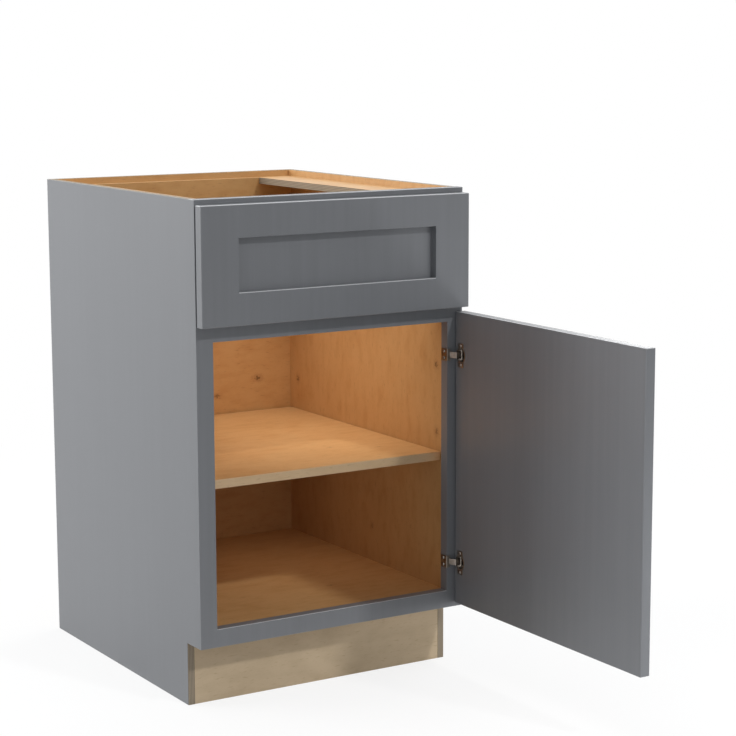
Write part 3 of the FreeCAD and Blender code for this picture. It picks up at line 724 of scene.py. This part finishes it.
def end_recipe(tree, placed, output, material):
    """Makes the placed shapes real and gives them their finish."""
    inputs = {"Geometry": made_real(tree, placed), "Material": material}
    tree.links.new(put(tree, "GeometryNodeSetMaterial", inputs).outputs[0], output.inputs[0])


def seat_shapes(tree, seats, shape, spin):
    """Sets a shape on every seat, turned to its aim and spun by its own part of an angle."""
    aim = put(tree, "GeometryNodeInputNamedAttribute", {"Name": "aim"},
              data_type="FLOAT_VECTOR").outputs[0]
    turn = put(tree, "FunctionNodeAlignRotationToVector", {"Vector": aim}, axis="Z").outputs[0]
    angle = times(tree, own_chance(tree, SPIN_SEED), spin)
    own = put(tree, "FunctionNodeAxisAngleToRotation",
              {"Axis": (0.0, 0.0, 1.0), "Angle": angle}).outputs[0]
    turn = put(tree, "FunctionNodeRotateRotation", {"Rotation": turn, "Rotate By": own},
               rotation_space="LOCAL").outputs[0]
    return copies(tree, seats, shape, Rotation=turn)


def screw_recipe():
    """A cross-head screw: pan head with its recess, and a shank with thread ridges and a point."""
    sizes = {"Head Radius": 3.3 * MM, "Head Height": HEAD_HEIGHT, "Shank Radius": 1.75 * MM,
             "Length": 12.0 * MM, "Recess Width": 0.8 * MM, "Recess Reach": 1.9 * MM,
             "Recess Depth": 0.8 * MM, "Finish": None}
    tree, given, output = start_recipe("Cross-head screw", sizes)
    head_radius, head_height = given["Head Radius"], given["Head Height"]
    rim = times(tree, head_height, HEAD_RIM)
    half_rim = times(tree, rim, 0.5)
    head, top_face, bottom_face = blank(tree, corners=28, radius=head_radius, depth=rim)
    crown = [(times(tree, head_height, rise), scale) for rise, scale in CROWN]
    head = turned(tree, head, top_face, crown)
    scales = THREAD + POINT
    down = times(tree, reckon(tree, "DIVIDE", given["Length"], float(len(scales))), -1.0)
    neck = reckon(tree, "DIVIDE", given["Shank Radius"], head_radius)
    shank = [(0.0, neck)] + [(down, scale) for scale in scales]
    whole = turned(tree, head, bottom_face, shank)
    top = reckon(tree, "ADD", half_rim, times(tree, head_height, 1.0 - HEAD_RIM))
    width, reach = given["Recess Width"], times(tree, given["Recess Reach"], 2.0)
    deep = times(tree, given["Recess Depth"], 2.0)
    cut = put(tree, "GeometryNodeMeshBoolean", {"Mesh 1": whole}, operation="DIFFERENCE",
              solver="EXACT")
    for long_side, short_side in ((reach, width), (width, reach)):
        size = join_axes(tree, long_side, short_side, deep)
        bar = put(tree, "GeometryNodeMeshCube", {"Size": size}).outputs[0]
        tree.links.new(raised(tree, bar, top), cut.inputs["Mesh 2"])
    screw = raised(tree, cut.outputs["Mesh"], half_rim)
    seated = seat_shapes(tree, given["Seats"], screw, spin=1.5)
    end_recipe(tree, seated, output, given["Finish"])
    return tree


def roller_recipe():
    """A nylon roller with turned ends and a shallow groove on each side of its middle."""
    sizes = {"Radius": 1.5 * MM, "Length": 9.0 * MM, "Finish": None}
    tree, given, output = start_recipe("Nylon roller", sizes)
    body = times(tree, given["Length"], ROLLER_BODY)
    solid, top, bottom = blank(tree, corners=20, radius=given["Radius"], depth=body)
    for face, way in ((top, 1.0), (bottom, -1.0)):
        steps = [(times(tree, given["Length"], way * share), scale) for share, scale in ROLLER_END]
        solid = turned(tree, solid, face, steps)
    seated = seat_shapes(tree, given["Seats"], solid, spin=1.0)
    end_recipe(tree, seated, output, given["Finish"])
    return tree


def islands(node):
    """The separate solids of a node, each as a list of its points."""
    shape = merged_solid(node)
    left = set(shape.verts)
    groups = []
    while left:
        queue = [min(left, key=lambda vertex: vertex.index)]
        left.discard(queue[0])
        group = []
        while queue:
            vertex = queue.pop()
            group.append(vertex.co.copy())
            for edge in vertex.link_edges:
                other = edge.other_vert(vertex)
                if other in left:
                    left.discard(other)
                    queue.append(other)
        groups.append(group)
    shape.free()
    return groups


def round_seats(node, at_head):
    """Where each round solid of a node sits: at its middle, or under its head and aiming out."""
    found = []
    for group in islands(node):
        low, high = limits(group)
        middle = (low + high) / 2
        axis = max(range(3), key=lambda k: (high - low)[k])
        aim = Vector([float(k == axis) for k in range(3)])
        if at_head:
            width = max((high - low)[k] for k in range(3) if k != axis) / 2
            away = [(point, (point - middle) - aim * (point - middle).dot(aim)) for point in group]
            rim = [point[axis] for point, way in away if way.length > HEAD_REACH * width]
            heads_up = sum(rim) / len(rim) > middle[axis]
            middle[axis] = min(rim) if heads_up else max(rim)
            aim = aim if heads_up else -aim
        found.append((middle, aim))
    return found


def seats_mesh(node, at_head):
    """A mesh of one point for each round solid of a node, with the way it aims."""
    seats = round_seats(node, at_head)
    mesh = bpy.data.meshes.new(node + "_seats")
    mesh.from_pydata([place for place, aim in seats], [], [])
    aims = mesh.attributes.new("aim", "FLOAT_VECTOR", "POINT")
    for index, (place, aim) in enumerate(seats):
        aims.data[index].vector = aim
    return mesh


def finish_repeats(mesh, node):
    """Joins what touches, writes the grain and settles repeated pieces in their node's place."""
    shape = opened(mesh)
    bmesh.ops.recalc_face_normals(shape, faces=shape.faces)
    write_back(shape, mesh)
    write_board_places(mesh, AXES["Y"], *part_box(node), next(piece_numbers), square=False)
    smooth_over(mesh)
    settle(mesh, node)


def screw_length(node):
    low, high = limits(islands(node)[0])
    return max(high - low)


screws = screw_recipe()
for node, finish in (("carcass_screws", "screw zinc"), ("drawer_front_screws", "screw zinc"),
                     ("hinge_cup_screws", "nickel")):
    sizes = {"Length": screw_length(node) - HEAD_HEIGHT, "Finish": finishes[finish]}
    seats = seats_mesh(node, at_head=True)
    finish_repeats(run_recipe(screws, seats, node + "_recipe", sizes), node)

rollers = roller_recipe()
for node in ("slide_rollers_outer", "slide_rollers_inner"):
    sizes = {"Finish": finishes["roller nylon"]}
    seats = seats_mesh(node, at_head=False)
    finish_repeats(run_recipe(rollers, seats, node + "_recipe", sizes), node)


def knife_block_recipe():
    """A row of equal fingers with rounded noses, each with a place and a tone of its own."""
    sizes = {"Count": 18, "Pitch": 23.9 * MM, "Width": 18.9 * MM, "Length": 300.0 * MM,
             "Height": 40.0 * MM, "Nose": FINGER_NOSE, "Finish": None}
    tree, given, output = start_recipe("Slotted knife block", sizes)
    inputs = {"Size": join_axes(tree, given["Width"], 1.0, given["Height"]), "Vertices X": 2,
              "Vertices Y": NOSE_STEPS + 2, "Vertices Z": 2}
    bar = put(tree, "GeometryNodeMeshCube", inputs).outputs[0]
    parts = axes_of(tree, put(tree, "GeometryNodeInputPosition").outputs[0])

    # Rows of points from the front: those of the nose lie on a quarter circle, and the last row is
    # the far end
    number = times(tree, reckon(tree, "ADD", parts[1], 0.5), float(NOSE_STEPS + 1))
    share = reckon(tree, "MINIMUM", reckon(tree, "DIVIDE", number, float(NOSE_STEPS)), 1.0)
    angle = times(tree, share, math.pi / 2)
    back, drop = (times(tree, reckon(tree, "SUBTRACT", 1.0, reckon(tree, wave, angle)),
                        given["Nose"]) for wave in ("COSINE", "SINE"))
    last = reckon(tree, "GREATER_THAN", number, NOSE_STEPS + 0.5)
    rest = times(tree, last, reckon(tree, "SUBTRACT", given["Length"], given["Nose"]))
    top = reckon(tree, "GREATER_THAN", parts[2], 0.0)
    height = times(tree, top, reckon(tree, "SUBTRACT", given["Height"], drop))
    place = join_axes(tree, parts[0], reckon(tree, "ADD", back, rest), height)
    finger = put(tree, "GeometryNodeSetPosition", {"Geometry": bar, "Position": place}).outputs[0]

    inputs = {"Count": given["Count"], "Offset": join_axes(tree, given["Pitch"], 0.0, 0.0)}
    row = put(tree, "GeometryNodeMeshLine", inputs).outputs[0]
    points = made_real(tree, copies(tree, given["Seats"], row))
    fingers = copies(tree, points, finger)
    inputs = {"Geometry": fingers, "Name": "own", "Value": own_chance(tree, FINGER_SEED)}
    marked = put(tree, "GeometryNodeStoreNamedAttribute", inputs, data_type="FLOAT",
                 domain="INSTANCE").outputs[0]
    end_recipe(tree, marked, output, given["Finish"])
    return tree


def knife_row(node, nose, finish, arris):
    """A row of the knife block, fingers or the spacers between them, from the node's own solids."""
    bars = sorted((limits(group) for group in islands(node)), key=lambda bar: bar[0][0])
    low, high = bars[0]
    seats = bpy.data.meshes.new(node + "_seats")
    seats.from_pydata([Vector(((low[0] + high[0]) / 2, low[1], low[2]))], [], [])
    width, length, height = high - low
    sizes = {"Count": len(bars), "Pitch": bars[1][0][0] - low[0], "Width": width,
             "Length": length, "Height": height, "Nose": nose, "Finish": finishes[finish]}
    mesh = run_recipe(knife_block_recipe(), seats, node + "_recipe", sizes)
    shape = opened(mesh)
    bmesh.ops.dissolve_degenerate(shape, edges=shape.edges, dist=MERGE)
    bmesh.ops.recalc_face_normals(shape, faces=shape.faces)
    weight = shape.edges.layers.float.new("bevel_weight_edge")
    for edge in shape.edges:
        if len(edge.link_faces) == 2 and edge.calc_face_angle(0.0) > SHARP_ANGLE:
            edge[weight] = 1.0
    write_back(shape, mesh)
    mesh = round_edges(mesh, node + "_blank", ARRIS[arris])
    own = [item.value for item in mesh.attributes["own"].data]
    write_board_places(mesh, AXES["Y"], *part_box(node), next(piece_numbers), square=False)
    for item, value in zip(mesh.attributes["board"].data, own):
        item.vector = Vector(item.vector) + Vector((value * CUT_APART, 0.0, 0.0))
    smooth_over(mesh)
    settle(mesh, node)


knife_row("knife_block_fingers", FINGER_NOSE, "insert strips", "insert")
knife_row("knife_block_spacers", SPACER_NOSE, "insert birch", "seam")


# Floor and world

FLOOR_REACH = 14.0
SHADOW_REACH, WHITE_FROM = 0.8, 1.8  # the floor turns plain white between these, from the middle
SHADOWED_WHITE = 0.84  # share of plain white nearer than that; the rest takes the shadows
MATT_WHITE = (0.97, 0.97, 0.97, 1.0)
FLOOR_BOUNCE = (0.53, 0.53, 0.53, 1.0)
SOFT_LIGHT = (0.92, 0.96, 1.0, 1.0)
SOFT_STRENGTH = 0.33
WHITE = (1.0, 1.0, 1.0, 1.0)


def cleared(owner):
    """The tree of a material or world, with nothing in it."""
    owner.use_nodes = True
    owner.node_tree.nodes.clear()
    return owner.node_tree


def mixed(tree, share, first, second):
    return put(tree, "ShaderNodeMixShader", {0: share, 1: first, 2: second}).outputs[0]


def seen_ray(tree):
    """1 for what the camera sees, straight or in a gloss or a clear surface, 0 for other light."""
    path = put(tree, "ShaderNodeLightPath").outputs
    seen = reckon(tree, "MAXIMUM", path["Is Camera Ray"], path["Is Glossy Ray"])
    return reckon(tree, "MAXIMUM", seen, path["Is Transmission Ray"])


def white_floor():
    """A pale floor: white round the cabinet, with its soft shadow kept close to it."""
    mesh = bpy.data.meshes.new("studio_floor")
    ways = ((-1, -1), (1, -1), (1, 1), (-1, 1))
    corners = [(x * FLOOR_REACH, y * FLOOR_REACH, 0) for x, y in ways]
    mesh.from_pydata(corners, [], [(0, 1, 2, 3)])
    floor = bpy.data.objects.new("studio_floor", mesh)
    bpy.context.scene.collection.objects.link(floor)
    material = bpy.data.materials.new("Pale studio floor")
    tree = cleared(material)
    away = length_of(tree, object_place(tree))
    share = band(tree, away, SHADOW_REACH, WHITE_FROM, low=SHADOWED_WHITE)
    matt = put(tree, "ShaderNodeBsdfDiffuse", {"Color": MATT_WHITE}).outputs[0]
    glow = put(tree, "ShaderNodeEmission", {"Strength": 1.0}).outputs[0]
    bounce = put(tree, "ShaderNodeBsdfDiffuse", {"Color": FLOOR_BOUNCE}).outputs[0]
    both = mixed(tree, seen_ray(tree), bounce, mixed(tree, share, matt, glow))
    put(tree, "ShaderNodeOutputMaterial", {"Surface": both})
    mesh.materials.append(material)


def studio_world():
    """White where the camera, a gloss or a clear surface sees it, and soft even light elsewhere."""
    world = bpy.data.worlds.new("Studio")
    bpy.context.scene.world = world
    tree = cleared(world)
    inputs = {"Color": SOFT_LIGHT, "Strength": SOFT_STRENGTH}
    soft = put(tree, "ShaderNodeBackground", inputs).outputs[0]
    white = put(tree, "ShaderNodeBackground", {"Color": WHITE, "Strength": 1.0}).outputs[0]
    put(tree, "ShaderNodeOutputWorld", {"Surface": mixed(tree, seen_ray(tree), soft, white)})


white_floor()
studio_world()


# Lamps

def point_at(item, target):
    way = Vector(target) - item.location
    item.rotation_euler = way.to_track_quat("-Z", "Y").to_euler()


def add_lamp(name, kind, place, target, power, **settings):
    """A lamp that shines on its target, or straight down when it has none."""
    lamp = bpy.data.lights.new(name, kind)
    lamp.energy = power
    for key, value in settings.items():
        setattr(lamp, key, value)
    item = bpy.data.objects.new(name, lamp)
    item.location = place
    bpy.context.scene.collection.objects.link(item)
    if target:
        point_at(item, target)
    return item


def add_fill(name, place, target, power, width, depth, spread, colour=(1.0, 1.0, 1.0)):
    """A small hidden lamp that lifts one space or one board."""
    fill = add_lamp(name, "AREA", place, target, power, shape="RECTANGLE", size=width,
                    size_y=depth, spread=math.radians(spread), color=colour)
    fill.visible_camera = False
    fill.visible_glossy = False


# Powers are in watts, or for the sun in watts on a square metre
MIDDLE = Vector((0.0, -0.45, 0.45))
KEY_WAY = Vector((-0.36, 1.0, -1.0))
for name, place, power, side in (("left_softbox", (-3.2, 1.75, 1.8), 103.0, 2.2),
                                 ("right_softbox", (3.2, 1.2, 1.8), 60.0, 2.2),
                                 ("top_softbox", (-0.3, -0.2, 3.4), 36.0, 1.6)):
    add_lamp(name, "AREA", place, MIDDLE, power, shape="RECTANGLE", size=side, size_y=side)
add_lamp("front_key", "SUN", MIDDLE - KEY_WAY * 3.0, MIDDLE, 0.82, angle=math.radians(4.0))

add_fill("shelf_fill", (0.085, -0.31, 0.672), None, power=0.77, width=0.33, depth=0.46,
         spread=145.0, colour=(1.0, 0.93, 0.88))
add_fill("bottom_fill", (0.06, -0.32, 0.37), None, power=0.11, width=0.36, depth=0.36,
         spread=130.0, colour=(1.0, 0.78, 0.66))
add_fill("toe_fill", (0.85, -1.45, 0.13), (0.0, -0.56, 0.06), power=3.15, width=0.4, depth=0.2,
         spread=180.0)


# Camera, as fitted to the photograph

CAMERA_PLACE = (-1.7945, -3.6311, 1.1371)
CAMERA_TARGET = (0.0611, -0.6212, 0.5702)
CAMERA_ROLL = math.radians(-0.18)

camera = bpy.data.cameras.new("photo_camera")
camera.sensor_width = 36.0
camera.lens = 100.62
viewer = bpy.data.objects.new("photo_camera", camera)
viewer.location = CAMERA_PLACE
bpy.context.scene.collection.objects.link(viewer)
point_at(viewer, CAMERA_TARGET)
viewer.rotation_euler.rotate_axis("Z", CAMERA_ROLL)
bpy.context.scene.camera = viewer
bpy.context.scene.view_settings.view_transform = "Standard"
